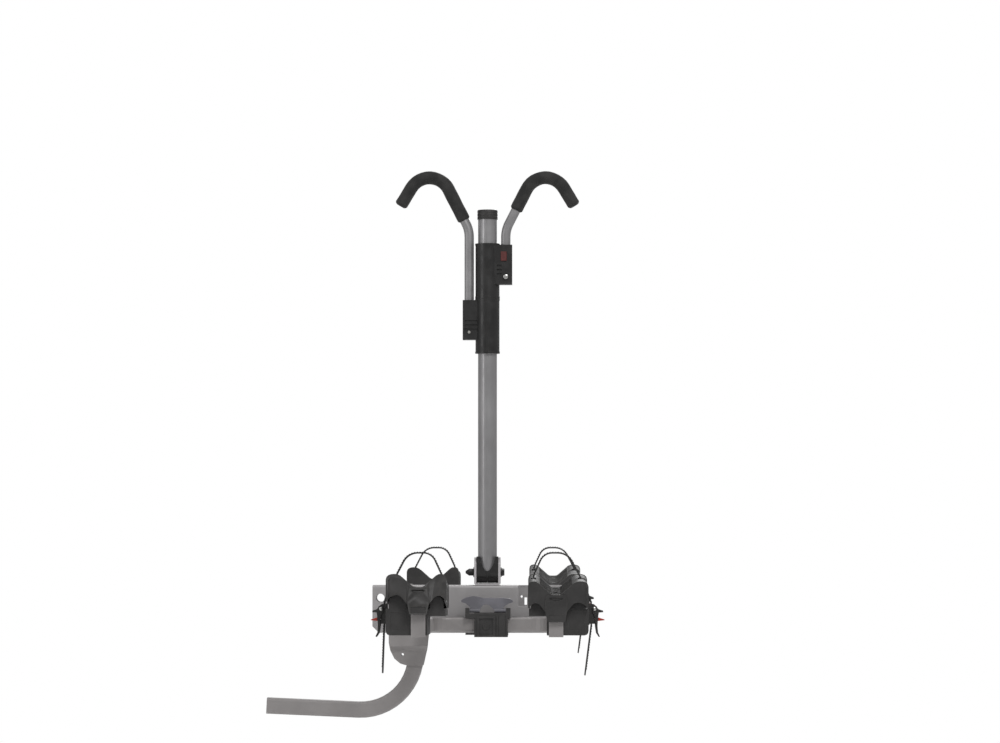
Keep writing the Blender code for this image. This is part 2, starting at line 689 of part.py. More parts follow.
# Wheel cups, built at +X and +Y: u runs outward across the leg, v outward along it


def corner_matrix(side_x, side_y):
    across = Matrix.Translation((FRAME_X * MM, 0, 0)) @ Matrix.Scale(side_x, 4, (1, 0, 0))
    return risen(side_y) @ across @ Matrix.Translation((LEG_X * MM, 0, 0))


def tipped(placement, angle):
    """Turns a trough about its pivot; a positive angle lifts its outer end."""
    pivot = Matrix.Translation(Vector((0, *TROUGH_AXIS)) * MM)
    return placement @ pivot @ Matrix.Rotation(angle, 4, "X") @ pivot.inverted()


def cup_base(bench, prefix):
    """A saddle over the leg with an outer skirt and an inner shelf."""
    name = prefix + "_base"
    leg = LEG_WIDTH / 2 + GAP
    leg_top = HINGE_Z + LEG_HEIGHT / 2 + GAP
    low = 151.5
    outline = [
        (CUP_IN + 1, 187), (-leg - 3.7, 187), (-leg - 3.7, low), (-leg, low), (-leg, leg_top),
        (leg, leg_top), (leg, low), (CUP_OUT + 1, low), (CUP_OUT + 1, BASE_TOP), (CUP_IN + 1, BASE_TOP),
    ]
    base = bench.prism(name, outline, "y", (BASE_START, BASE_END), "black_plastic")
    inside = (BASE_START + 3.5, BASE_END - 3.5)
    v, z = TROUGH_AXIS
    upstand = bench.box(name + "_upstand", (-15, 15), (v - 14, v + 14), (BASE_TOP - 6, z + 8))
    add(base, upstand)
    cut(
        base,
        bench.box(name + "_skirt_pocket", (leg + 3.5, CUP_OUT - 2.5), inside, (140, BASE_TOP - 4)),
        bench.box(name + "_shelf_pocket", (CUP_IN + 4.5, -leg - 7), inside, (180, BASE_TOP - 4)),
        bench.rod(name + "_pivot_bore", "x", (v, z), 3.3, (-30, 30), count=16),
        bench.box(
            name + "_strap_slot", (STRAP_ANCHOR - 3, STRAP_ANCHOR + 3),
            (v - STRAP_WIDTH / 2 - 1.5, v + STRAP_WIDTH / 2 + 1.5), (190, BASE_TOP + 5),
        ),
    )


def wheel_profile(lobe, proud=0.0):
    """The trough's upper profile across the leg, from its outer edge to its inner one."""
    rim = lobe - 10
    outer, inner, floor = CUP_OUT + proud, CUP_IN - proud, 232.5 + proud
    return [
        (outer, rim), (outer - 5, lobe - 2), (outer - 16, lobe), (33, lobe - 3), (8, floor),
        (-8, floor), (-33, lobe - 3), (inner + 9, lobe), (inner + 3, lobe - 2), (inner, rim),
    ]


def cup_trough(bench, prefix):
    """A V-shaped channel with an end wall and tongue at each end, rocking on the base's upstand."""
    name = prefix + "_trough"
    wall = TROUGH_WALL
    low = 208.5
    top = wheel_profile(257.0)
    under = [
        (CUP_OUT - wall, 246), (CUP_OUT - 7.5, 251), (CUP_OUT - 16, 253), (34.5, 250.5), (9.5, 228.5),
        (-9.5, 228.5), (-34.5, 250.5), (CUP_IN + 9, 253), (CUP_IN + 6, 251), (CUP_IN + wall, 246),
    ]
    sheet = [(CUP_OUT, low)] + top + [(CUP_IN, low), (CUP_IN + wall, low)] + under[::-1]
    sheet += [(CUP_OUT - wall, low)]
    trough = bench.prism(name, sheet, "y", (TROUGH_START + 2, TROUGH_END - 2), "black_plastic")

    outer, inner, foot = CUP_OUT + 0.8, CUP_IN - 0.8, low - 0.7
    front = [(outer, foot)] + wheel_profile(258.0, 0.8) + [(inner, foot), (-41, 218), (-32, 215)]
    front += [(-19, 200), (-16, 183), (16, 183), (20, 200), (31, 215), (43, 218)]
    add(trough, bench.prism(name + "_front", front, "y", (TROUGH_END - 4.2, TROUGH_END)))
    rear = [(outer, foot)] + wheel_profile(258.0, 0.8)
    rear += [(inner, foot), (-22, 206), (-15, 190), (15, 190), (22, 206)]
    add(trough, bench.prism(name + "_rear", rear, "y", (TROUGH_START, TROUGH_START + 4.2)))

    v, z = TROUGH_AXIS
    lugs = [
        bench.box(f"{name}_{label}_lug", span, (v - 11, v + 11), (z - 9, 238))
        for label, span in (("outer", (15.4, 19.5)), ("inner", (-19.5, -15.4)))
    ]
    pivot = bench.rod(name + "_pivot", "x", (v, z), 3.0, (-20.5, 20.5), count=16)
    add(trough, *lugs, pivot)
    room = (v - STRAP_WIDTH / 2 - 7, v + STRAP_WIDTH / 2 + 7)
    cut(
        trough,
        bench.box(name + "_strap_slot", (STRAP_ANCHOR - 5, STRAP_ANCHOR + 5), room, (225, 265)),
        bench.box(name + "_strap_notch", (41, STRAP_U - 1), room, (214, 265)),
    )
    bench.hinge_at(trough, (0, *TROUGH_AXIS))


def strap(bench, prefix, tail_bottom, tail_lean):
    """A flat ladder strap: T-bar under the shelf, arch over the wheel's place, buckle, hanging tail."""
    v = TROUGH_AXIS[0]
    corners = [
        (STRAP_ANCHOR, 188), (STRAP_ANCHOR, 262), (-22, 304), (22, 304), (50, 250), (STRAP_U, 212),
        (STRAP_U, 170), (STRAP_U + tail_lean, tail_bottom),
    ]
    path = arc_corners(corners, [30.0, 24.0, 30.0, 60.0, 30.0, 60.0], steps=5)
    half = STRAP_WIDTH / 2
    section = rectangle((-STRAP_THICK / 2, STRAP_THICK / 2), (-half, half))
    band = bench.sweep(prefix + "_strap", path, "y", v, section, look="black_strap")
    reach = (v - half - 4, v + half + 4)
    add(band, bench.rod(prefix + "_strap_bar", "y", (STRAP_ANCHOR, 189), 3.0, reach, count=16))


def ratchet(bench, prefix):
    """The buckle on the skirt: a frame with two axles, a hand lever and a release tab."""
    v = TROUGH_AXIS[0]
    half = STRAP_WIDTH / 2
    face = CUP_OUT + 1 + GAP
    frame = bench.box(
        prefix + "_ratchet", (face, face + 2.5), (v - half - 4, v + half + 4), (170, 210), "black_plastic"
    )
    cheek = [
        (face + 1, 172), (76, 172), (79, 179), (79, 196), (76.5, 204), (70, 209), (face + 1, 209),
    ]
    cheeks = (("near", v - half - 3.5, v - half - 1.1), ("far", v + half + 1.1, v + half + 3.5))
    for label, low, high in cheeks:
        add(frame, bench.prism(f"{prefix}_ratchet_{label}", cheek, "y", (low, high)))
    add(
        frame,
        bench.rod(prefix + "_lever_axle", "y", LEVER_AXIS, 2.2, (v - half - 7.2, v + half + 7.2), count=12),
        bench.rod(prefix + "_tab_axle", "y", TAB_AXIS, 1.8, (v - half - 2.5, v + half + 2.5), count=12),
    )

    outline = [
        (67.5, 203), (70, 205.5), (74, 205), (80, 199), (88, 196.5), (88, 193.5), (80, 193),
        (78.5, 184), (77.5, 168), (78.5, 156), (82, 148.5), (80, 147.5), (75, 155), (73, 168),
        (72.5, 184), (67.5, 196),
    ]
    lever = bench.prism(
        prefix + "_lever", outline, "y", (v - half - 6.2, v + half + 6.2), "black_plastic"
    )
    cut(
        lever,
        bench.box(prefix + "_lever_window", (50, 82.3), (v - half - 3.8, v + half + 3.8), (168, 225)),
        bench.rod(prefix + "_lever_bore", "y", LEVER_AXIS, 2.5, (v - half - 13, v + half + 13), count=12),
    )
    bench.hinge_at(lever, (LEVER_AXIS[0], v, LEVER_AXIS[1]))

    tab_outline = [
        (70.2, 178.5), (76, 177), (90.5, 178.6), (91, 180), (77, 184.5), (72, 185), (70.2, 183),
    ]
    tab = bench.prism(
        prefix + "_tab", tab_outline, "y", (v - half - 0.6, v + half + 0.6), "red_plastic"
    )
    cut(tab, bench.rod(prefix + "_tab_bore", "y", TAB_AXIS, 2.1, (v - half - 8, v + half + 8), count=12))
    bench.hinge_at(tab, (TAB_AXIS[0], v, TAB_AXIS[1]))


def wheel_cup(side_x, side_y):
    """One cup with its strap and buckle. Each trough rests rocked to one end of its range."""
    prefix = ("near" if side_y < 0 else "far") + ("_left" if side_x < 0 else "_right")
    placement = corner_matrix(side_x, side_y)
    bench = Bench(placement)
    cup_base(bench, prefix)
    cup_trough(Bench(tipped(placement, side_x * side_y * TROUGH_TIP)), prefix)
    strap(bench, prefix, 80.0 if side_x < 0 else 76.0, 3.0 if side_x < 0 else -12.0)
    ratchet(bench, prefix)


def move_to_shank_end():
    """Puts the free end of the shank at the origin."""
    for obj in bpy.data.objects:
        obj.location.x += SHANK_REACH * MM


def build():
    world = Bench()
    hitch_tube(world)
    gusset(world, "gusset_near", -1)
    gusset(world, "gusset_far", 1)
    tilt_hardware(world)
    tilt_pin(world)
    spine(world)
    mast_bracket(world)
    mast(world)
    mast_liner(world, "mast_liner_left", -1)
    mast_liner(world, "mast_liner_right", 1)
    mast_hardware(world)
    turned = Bench(Matrix.Rotation(math.pi, 4, "Z"))
    for bench, height, arm, top, foam_start in (
        (world, "upper", "right", UPPER_COLLAR_TOP, 44.0),
        (turned, "lower", "left", LOWER_COLLAR_TOP, 20.7),
    ):
        stem_bottom, bolt_z = collar(bench, height, top)
        hook(bench, arm, stem_bottom, bolt_z, foam_start)
    for prefix, side_y in (("near", -1), ("far", 1)):
        wheel_frame(Bench(risen(side_y)), prefix)
        fold_block(Bench(side_matrix(side_y)), prefix)
        latch_handle(Bench(side_matrix(side_y)), prefix)
        for side_x in (-1, 1):
            wheel_cup(side_x, side_y)
    move_to_shank_end()


build()
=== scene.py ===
import json
import math

import bmesh
import bpy
from mathutils import Matrix, Vector, noise

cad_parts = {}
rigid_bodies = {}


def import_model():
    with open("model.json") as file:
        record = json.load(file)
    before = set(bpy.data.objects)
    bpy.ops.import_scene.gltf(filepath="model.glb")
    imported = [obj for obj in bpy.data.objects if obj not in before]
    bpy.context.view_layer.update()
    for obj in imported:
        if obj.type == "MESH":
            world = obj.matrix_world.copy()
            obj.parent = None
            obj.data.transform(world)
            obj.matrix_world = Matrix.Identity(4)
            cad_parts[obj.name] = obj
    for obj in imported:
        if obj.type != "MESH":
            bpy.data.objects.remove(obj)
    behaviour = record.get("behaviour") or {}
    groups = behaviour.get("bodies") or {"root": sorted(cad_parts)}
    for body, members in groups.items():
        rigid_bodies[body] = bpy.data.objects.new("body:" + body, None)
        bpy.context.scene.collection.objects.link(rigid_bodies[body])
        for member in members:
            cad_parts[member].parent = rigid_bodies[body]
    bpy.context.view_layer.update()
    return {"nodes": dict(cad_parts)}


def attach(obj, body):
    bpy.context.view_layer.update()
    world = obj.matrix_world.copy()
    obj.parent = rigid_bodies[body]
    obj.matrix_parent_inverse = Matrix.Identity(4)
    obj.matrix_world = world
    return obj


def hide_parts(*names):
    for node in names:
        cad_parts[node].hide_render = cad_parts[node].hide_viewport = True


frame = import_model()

MM = 0.001
NODES = frame["nodes"]

# Reference places, in millimetres from the mast's axis unless said otherwise
MAST_X = 444.4
FRAME_X = 8.0
LEG_X = 127.0
HINGE_Y = 49.0
HINGE_Z = 164.0
LEG_RISE = math.radians(1.0)
TROUGH_AXIS = (560.0, 212.0)
TROUGH_TIP = math.radians(3.8)
CUP_IN, CUP_OUT = -51.0, 59.0
STEM_X = 37.0
ARM_KNEE = (STEM_X, 960.6)
HOOK_PEAK = (114.5, 1111.9)
HOOK_END = (176.4, 1009.0)
FOAM_RADIUS = 13.5
UPPER_COLLAR_TOP = 932.3
COLLAR_HEIGHT = 111.0
LOWER_COLLAR_TOP = UPPER_COLLAR_TOP - COLLAR_HEIGHT - 0.5
MAST_BORE = 19.35
SADDLE_START, SADDLE_END = 462.0, 650.0
TROUGH_FOOT = 207.8
STRAP_ANCHOR = -41.5
STRAP_U = 66.0
STRAP_HALF_WIDTH = 12.0
STRAP_ROOM = 19.0  # half the opening that lets the trough rock round its strap
SLEEVE_BORE = 20.1
LATCH_PIN = (66.0, 193.0)

# Camera and light, in metres
FOCAL_WIDTHS = 3.712  # focal length over the width of the picture
EYE = (0.5434, -7.5, 0.3838)
EYE_TILT = 2.213
EYE_TURN = 0.563
FLOOR_LEVEL = -0.45
FLOOR_RADIUS = 4.0
LIT_CENTRE = (0.45, 0.0, 0.4)


# Materials


def new_material(name):
    material = bpy.data.materials.new(name)
    material.use_nodes = True
    tree = material.node_tree
    return material, tree, tree.nodes["Principled BSDF"]


def node(tree, kind, **values):
    made = tree.nodes.new(kind)
    for key, value in values.items():
        if key in made.inputs:
            made.inputs[key].default_value = value
        else:
            setattr(made, key, value)
    return made


def ramp(tree, source, low, high, first, last):
    """Maps source from low..high to first..last, smoothly."""
    mapped = node(tree, "ShaderNodeMapRange", interpolation_type="SMOOTHSTEP")
    for key, value in zip(("From Min", "From Max", "To Min", "To Max"), (low, high, first, last)):
        mapped.inputs[key].default_value = value
    tree.links.new(source, mapped.inputs["Value"])
    return mapped.outputs["Result"]


def mixed(tree, factor, first, second):
    """A colour mix; each side is a colour or a socket."""
    mix = node(tree, "ShaderNodeMix", data_type="RGBA")
    tree.links.new(factor, mix.inputs["Factor"])
    for socket, value in ((mix.inputs[6], first), (mix.inputs[7], second)):
        if hasattr(value, "links"):
            tree.links.new(value, socket)
        else:
            socket.default_value = (*value, 1.0)
    return mix.outputs[2]


def noise_of(tree, scale, detail=3.0, stretch=(1, 1, 1)):
    coordinates = node(tree, "ShaderNodeTexCoord")
    mapping = node(tree, "ShaderNodeMapping")
    mapping.inputs["Scale"].default_value = stretch
    texture = node(tree, "ShaderNodeTexNoise", Scale=scale, Detail=detail)
    tree.links.new(coordinates.outputs["Object"], mapping.inputs["Vector"])
    tree.links.new(mapping.outputs["Vector"], texture.inputs["Vector"])
    return texture.outputs["Fac"]


def cells_of(tree, scale, feature="F1"):
    coordinates = node(tree, "ShaderNodeTexCoord")
    texture = node(tree, "ShaderNodeTexVoronoi", Scale=scale)
    texture.feature = feature
    tree.links.new(coordinates.outputs["Object"], texture.inputs["Vector"])
    return texture.outputs["Distance"]


def edge_mask(tree, radius):
    """1 along sharp edges, 0 on flat faces."""
    bevel = node(tree, "ShaderNodeBevel", Radius=radius, samples=4)
    geometry = node(tree, "ShaderNodeNewGeometry")
    dot = node(tree, "ShaderNodeVectorMath", operation="DOT_PRODUCT")
    tree.links.new(bevel.outputs["Normal"], dot.inputs[0])
    tree.links.new(geometry.outputs["Normal"], dot.inputs[1])
    return ramp(tree, dot.outputs["Value"], 0.99, 0.90, 0.0, 1.0)


def product(tree, a, b):
    math_node = node(tree, "ShaderNodeMath", operation="MULTIPLY")
    tree.links.new(a, math_node.inputs[0])
    if isinstance(b, float):
        math_node.inputs[1].default_value = b
    else:
        tree.links.new(b, math_node.inputs[1])
    return math_node.outputs[0]


def bumped(tree, shader, layers):
    """Stacks bump layers of (height socket, strength, distance)."""
    normal = None
    for height, strength, distance in layers:
        bump = node(tree, "ShaderNodeBump", Strength=strength, Distance=distance)
        tree.links.new(height, bump.inputs["Height"])
        if normal:
            tree.links.new(normal, bump.inputs["Normal"])
        normal = bump.outputs["Normal"]
    tree.links.new(normal, shader.inputs["Normal"])


def powder_coat(name, colour, wear_and_highlight_colour, roughness=0.42, metallic=0.35):
    """Satin metal-flake powder coat: orange peel, flake, soft mottling, and paler edges that are partly
    rubbed wear and partly a painted highlight.
    """
    material, tree, shader = new_material(name)
    mottled = mixed(
        tree, ramp(tree, noise_of(tree, 14.0), 0.35, 0.65, 0.0, 1.0),
        [c * 0.93 for c in colour], [min(c * 1.05, 1) for c in colour],
    )
    flakes = ramp(tree, cells_of(tree, 2600.0), 0.10, 0.32, 1.0, 0.0)
    flaked = mixed(tree, product(tree, flakes, 0.22), mottled, [min(c * 1.7, 1) for c in colour])
    # Paler patchy edges: partly rubbed wear, partly a painted edge highlight.
    wear_and_highlight_edges = product(tree, edge_mask(tree, 0.0012), ramp(tree, noise_of(tree, 60.0), 0.45, 0.62, 0.1, 0.8))
    tree.links.new(mixed(tree, wear_and_highlight_edges, flaked, wear_and_highlight_colour), shader.inputs["Base Color"])
    shader.inputs["Metallic"].default_value = metallic
    tree.links.new(
        ramp(tree, noise_of(tree, 35.0), 0.3, 0.7, roughness - 0.05, roughness + 0.07),
        shader.inputs["Roughness"],
    )
    bumped(tree, shader, [
        (noise_of(tree, 420.0, 2.0), 0.12, 0.0006),
        (noise_of(tree, 2200.0, 2.0), 0.10, 0.0002),
    ])
    return material


def nylon(name, colour, scuff_and_light_colour, roughness=0.5, grain=0.35):
    """Moulded nylon: spark-eroded grain, dull patches, painted light on upward faces, and paler edges that
    are partly rubbed wear and partly a painted highlight.
    """
    material, tree, shader = new_material(name)
    patchy = mixed(
        tree, ramp(tree, noise_of(tree, 24.0, 4.0), 0.38, 0.64, 0.0, 1.0),
        [c * 0.85 for c in colour], [c * 1.2 for c in colour],
    )
    # Upward faces are mixed towards the paler colour in noisy patches: painted light from above.
    geometry = node(tree, "ShaderNodeNewGeometry")
    split = node(tree, "ShaderNodeSeparateXYZ")
    tree.links.new(geometry.outputs["Normal"], split.inputs[0])
    upward = ramp(tree, split.outputs["Z"], 0.35, 1.0, 0.0, 0.35)
    painted_top_light = mixed(
        tree, product(tree, upward, ramp(tree, noise_of(tree, 90.0, 5.0), 0.4, 0.7, 0.2, 1.0)),
        patchy, scuff_and_light_colour,
    )
    # Paler patchy edges: partly rubbed wear, partly a painted edge highlight.
    wear_and_highlight_edges = product(tree, edge_mask(tree, 0.0010), ramp(tree, noise_of(tree, 80.0), 0.4, 0.65, 0.1, 0.75))
    tree.links.new(mixed(tree, wear_and_highlight_edges, painted_top_light, scuff_and_light_colour), shader.inputs["Base Color"])
    tree.links.new(
        ramp(tree, noise_of(tree, 55.0, 4.0), 0.3, 0.7, roughness - 0.08, roughness + 0.12),
        shader.inputs["Roughness"],
    )
    bumped(tree, shader, [
        (cells_of(tree, 1300.0), grain, 0.00025),
        (noise_of(tree, 300.0, 2.0), 0.08, 0.0004),
    ])
    return material


def closed_foam():
    """Skinned closed-cell foam: a soft dull black with fine pores and shallow dents."""
    material, tree, shader = new_material("foam")
    colour = mixed(
        tree, ramp(tree, noise_of(tree, 45.0, 5.0), 0.35, 0.68, 0.0, 1.0),
        (0.010, 0.0098, 0.0095), (0.026, 0.025, 0.024),
    )
    pores = ramp(tree, cells_of(tree, 900.0), 0.05, 0.45, 0.0, 1.0)
    tree.links.new(mixed(tree, pores, (0.006, 0.006, 0.006), colour), shader.inputs["Base Color"])
    shader.inputs["Roughness"].default_value = 0.82
    shader.inputs["Sheen Weight"].default_value = 0.12
    shader.inputs["Sheen Roughness"].default_value = 0.5
    bumped(tree, shader, [
        (cells_of(tree, 900.0), 0.35, 0.0005),
        (noise_of(tree, 90.0, 3.0), 0.30, 0.0012),
    ])
    return material


def strap_rubber():
    material, tree, shader = new_material("strap")
    colour = mixed(
        tree, ramp(tree, noise_of(tree, 70.0, 4.0), 0.35, 0.68, 0.0, 1.0),
        (0.018, 0.018, 0.018), (0.036, 0.035, 0.034),
    )
    # Paler edges all round: partly rubbed wear, partly a painted edge highlight.
    wear_and_highlight_edges = product(tree, edge_mask(tree, 0.0006), 0.35)
    tree.links.new(mixed(tree, wear_and_highlight_edges, colour, (0.09, 0.088, 0.085)), shader.inputs["Base Color"])
    tree.links.new(
        ramp(tree, noise_of(tree, 120.0), 0.3, 0.7, 0.38, 0.55), shader.inputs["Roughness"]
    )
    bumped(tree, shader, [(noise_of(tree, 1500.0, 2.0), 0.15, 0.0002)])
    return material


def plated(name, colour, roughness):
    """Zinc plate: fine turned lines, cloudy patches and faint straw tints."""
    material, tree, shader = new_material(name)
    cloudy = mixed(
        tree, ramp(tree, noise_of(tree, 160.0, 4.0), 0.35, 0.7, 0.0, 1.0),
        [c * 0.82 for c in colour], colour,
    )
    tint = ramp(tree, noise_of(tree, 60.0, 2.0), 0.5, 0.75, 0.0, 0.3)
    tree.links.new(mixed(tree, tint, cloudy, (0.62, 0.56, 0.42)), shader.inputs["Base Color"])
    shader.inputs["Metallic"].default_value = 1.0
    tree.links.new(
        ramp(tree, noise_of(tree, 300.0, 3.0), 0.3, 0.7, roughness - 0.06, roughness + 0.12),
        shader.inputs["Roughness"],
    )
    bumped(tree, shader, [(noise_of(tree, 700.0, 2.0, (1, 8, 8)), 0.12, 0.0002)])
    return material


LOOKS = {
    "silver": powder_coat("silver", (0.29, 0.275, 0.272), (0.52, 0.50, 0.49)),
    # A paler copy of the silver powder coat for the spine: painted light.
    "spine": powder_coat("spine", (0.36, 0.348, 0.35), (0.60, 0.59, 0.58), 0.45),
    "mast": powder_coat("mast", (0.33, 0.325, 0.33), (0.56, 0.55, 0.55), 0.34, 0.6),
    # A much paler copy of the silver powder coat for the mast bracket: painted light.
    "bright": powder_coat("bright", (0.50, 0.48, 0.49), (0.72, 0.70, 0.70), 0.40, 0.25),
    "black": nylon("black", (0.030, 0.0285, 0.028), (0.10, 0.095, 0.09)),
    "collar": nylon("collar", (0.016, 0.0155, 0.0155), (0.07, 0.068, 0.066), 0.36, 0.2),
    "grey": nylon("grey", (0.135, 0.133, 0.150), (0.27, 0.265, 0.28), 0.42, 0.25),
    "red": nylon("red", (0.46, 0.040, 0.022), (0.62, 0.16, 0.12), 0.38, 0.15),
    "dark_red": nylon("dark_red", (0.10, 0.018, 0.016), (0.20, 0.07, 0.06), 0.45, 0.2),
    "foam": closed_foam(),
    "strap": strap_rubber(),
    "zinc": plated("zinc", (0.60, 0.60, 0.58), 0.30),
}


# Outlines and paths, in millimetres


def circle(radius, count=24, centre=(0.0, 0.0)):
    turns = [2 * math.pi * i / count for i in range(count)]
    return [(centre[0] + radius * math.cos(t), centre[1] + radius * math.sin(t)) for t in turns]


def arc_corners(points, radii, steps=8):
    """A flat polyline with each inner corner replaced by an arc of its radius."""
    points = [Vector((*p, 0)) for p in points]
    path = [points[0]]
    for before, corner, after, radius in zip(points, points[1:], points[2:], radii):
        a = (before - corner).normalized()
        b = (after - corner).normalized()
        half = a.angle(b) / 2
        centre = corner + (a + b).normalized() * (radius / math.sin(half))
        start = corner + a * (radius / math.tan(half)) - centre
        turn = math.pi - 2 * half
        for i in range(steps + 1):
            spin = Matrix.Rotation(-turn * i / steps, 3, a.cross(b).normalized())
            path.append(centre + spin @ start)
    return [p.to_2d() for p in path + [points[-1]]]


def resampled(path, step):
    """Even points along a path, with each point's direction and distance from the start."""
    lengths = [0.0]
    for a, b in zip(path, path[1:]):
        lengths.append(lengths[-1] + (b - a).length)
    total = lengths[-1]
    count = max(2, round(total / step))
    found, k = [], 0
    for i in range(count + 1):
        along = total * i / count
        while k < len(path) - 2 and lengths[k + 1] < along:
            k += 1
        share = (along - lengths[k]) / (lengths[k + 1] - lengths[k])
        found.append((path[k].lerp(path[k + 1], share), along))
    result = []
    for i, (point, along) in enumerate(found):
        before, after = found[max(i - 1, 0)][0], found[min(i + 1, count)][0]
        result.append((point, (after - before).normalized(), along))
    return result, total


# Building


AXES = {
    "x": Matrix(((0, 0, 1, 0), (1, 0, 0, 0), (0, 1, 0, 0), (0, 0, 0, 1))),
    "y": Matrix(((1, 0, 0, 0), (0, 0, 1, 0), (0, 1, 0, 0), (0, 0, 0, 1))),
    "z": Matrix(),
}
TO_ROW = Matrix.Translation((MAST_X * MM, 0, 0))


class Bench:
    """Makes solids in its own frame, in millimetres, and sets them in the row frame."""

    def __init__(self, placement=None):
        self.placement = TO_ROW @ (placement or Matrix())

    def solid(self, name, bm, shape=None):
        bmesh.ops.transform(bm, matrix=Matrix.Scale(MM, 4) @ (shape or Matrix()), verts=bm.verts)
        bmesh.ops.transform(bm, matrix=self.placement, verts=bm.verts)
        bmesh.ops.recalc_face_normals(bm, faces=bm.faces)
        mesh = bpy.data.meshes.new(name)
        bm.to_mesh(mesh)
        bm.free()
        obj = bpy.data.objects.new(name, mesh)
        bpy.context.scene.collection.objects.link(obj)
        return obj

    def box(self, name, x, y, z):
        bm = bmesh.new()
        bmesh.ops.create_cube(bm, size=1.0)
        spans = (x, y, z)
        centre = Matrix.Translation([(low + high) / 2 for low, high in spans])
        return self.solid(name, bm, centre @ Matrix.Diagonal([high - low for low, high in spans] + [1.0]))

    def rod(self, name, axis, centre, radius, span, count=32, radius2=None):
        bm = bmesh.new()
        bmesh.ops.create_cone(
            bm, cap_ends=True, segments=count, radius1=radius,
            radius2=radius if radius2 is None else radius2, depth=span[1] - span[0],
        )
        middle = Matrix.Translation((*centre, (span[0] + span[1]) / 2))
        return self.solid(name, bm, AXES[axis] @ middle)

    def prism(self, name, outline, axis, span):
        bm = bmesh.new()
        low = [bm.verts.new((a, b, span[0])) for a, b in outline]
        high = [bm.verts.new((a, b, span[1])) for a, b in outline]
        bm.faces.new(low)
        bm.faces.new(high)
        for i in range(len(outline)):
            j = (i + 1) % len(outline)
            bm.faces.new((low[i], low[j], high[j], high[i]))
        return self.solid(name, bm, AXES[axis])

    def turned(self, name, profile, matrix, count=48):
        """A profile of (radius, height) points turned about the matrix's own Z."""
        bm = bmesh.new()
        rings = []
        for radius, height in profile:
            if radius < 1e-6:
                rings.append([bm.verts.new((0, 0, height))])
            else:
                rings.append([bm.verts.new((a, b, height)) for a, b in circle(radius, count)])
        for lower, upper in zip(rings, rings[1:]):
            for i in range(count):
                j = (i + 1) % count
                corners = [lower[i % len(lower)], lower[j % len(lower)]]
                corners += [upper[j % len(upper)], upper[i % len(upper)]]
                unique = list(dict.fromkeys(corners))
                if len(unique) > 2:
                    bm.faces.new(unique)
        return self.solid(name, bm, matrix)

    def lofted(self, name, rings, axis="z", closed=False):
        """Rings of 3D points, skinned in order and capped unless they close on themselves."""
        bm = bmesh.new()
        made = [[bm.verts.new(p) for p in ring] for ring in rings]
        count = len(made[0])
        pairs = list(zip(made, made[1:])) + ([(made[-1], made[0])] if closed else [])
        for lower, upper in pairs:
            for i in range(count):
                j = (i + 1) % count
                bm.faces.new((lower[i], lower[j], upper[j], upper[i]))
        if not closed:
            bm.faces.new(made[0])
            bm.faces.new(made[-1])
        return self.solid(name, bm, AXES[axis])


def settle(obj):
    """Applies the piece's modifiers and deletes the helpers that they used."""
    helpers = {m.object for m in obj.modifiers if m.type == "BOOLEAN"}
    graph = bpy.context.evaluated_depsgraph_get()
    mesh = bpy.data.meshes.new_from_object(obj.evaluated_get(graph))
    obj.modifiers.clear()
    obj.data = mesh
    for helper in helpers:
        bpy.data.objects.remove(helper)
    return obj


def combine(obj, others, operation):
    for other in others:
        modifier = obj.modifiers.new(other.name, "BOOLEAN")
        modifier.operation = operation
        modifier.solver = "EXACT"
        modifier.object = other
    return settle(obj)


def cut(obj, *others):
    return combine(obj, others, "DIFFERENCE")


def add(obj, *others):
    return combine(obj, others, "UNION")


def soften(obj, width, segments=2, angle=32):
    """Rounds the piece's edges, in millimetres, with even shading."""
    weld = obj.modifiers.new("weld", "WELD")
    weld.merge_threshold = 0.00002
    bevel = obj.modifiers.new("edges", "BEVEL")
    bevel.width = width * MM
    bevel.segments = segments
    bevel.limit_method = "ANGLE"
    bevel.angle_limit = math.radians(angle)
    bevel.use_clamp_overlap = True
    normals = obj.modifiers.new("shading", "WEIGHTED_NORMAL")
    normals.keep_sharp = False
    for face in obj.data.polygons:
        face.use_smooth = True
    return obj


def smooth(obj, angle=40):
    obj.data.shade_smooth()
    obj.data.set_sharp_from_angle(angle=math.radians(angle))
    return obj


def finish_piece(obj, name, look, slot, body, *replaced):
    obj.name = name
    obj.data.materials.clear()
    obj.data.materials.append(LOOKS[look])
    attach(obj, body)
    if replaced:
        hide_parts(*replaced)
    return obj


def reuse(name, look, edge=0.0, segments=2):
    """A CAD node that keeps its shape, with a finish and softer edges."""
    obj = NODES[name]
    obj.data.materials.clear()
    obj.data.materials.append(LOOKS[look])
    if edge:
        soften(obj, edge, segments)
    return obj


# Placements


def side_matrix(side):
    return Matrix.Scale(side, 4, (0, 1, 0)) if side < 0 else Matrix()


def risen(side):
    hinge = Matrix.Translation(Vector((0, HINGE_Y, HINGE_Z)) * MM)
    return side_matrix(side) @ hinge @ Matrix.Rotation(LEG_RISE, 4, "X") @ hinge.inverted()


def corner_matrix(side_x, side_y):
    across = Matrix.Translation((FRAME_X * MM, 0, 0)) @ Matrix.Scale(side_x, 4, (1, 0, 0))
    return risen(side_y) @ across @ Matrix.Translation((LEG_X * MM, 0, 0))


def tipped(placement, angle):
    pivot = Matrix.Translation(Vector((0, *TROUGH_AXIS)) * MM)
    return placement @ pivot @ Matrix.Rotation(angle, 4, "X") @ pivot.inverted()


CORNERS = [
    (("near" if side_y < 0 else "far") + ("_left" if side_x < 0 else "_right"), side_x, side_y)
    for side_y in (-1, 1) for side_x in (-1, 1)
]


# Cups


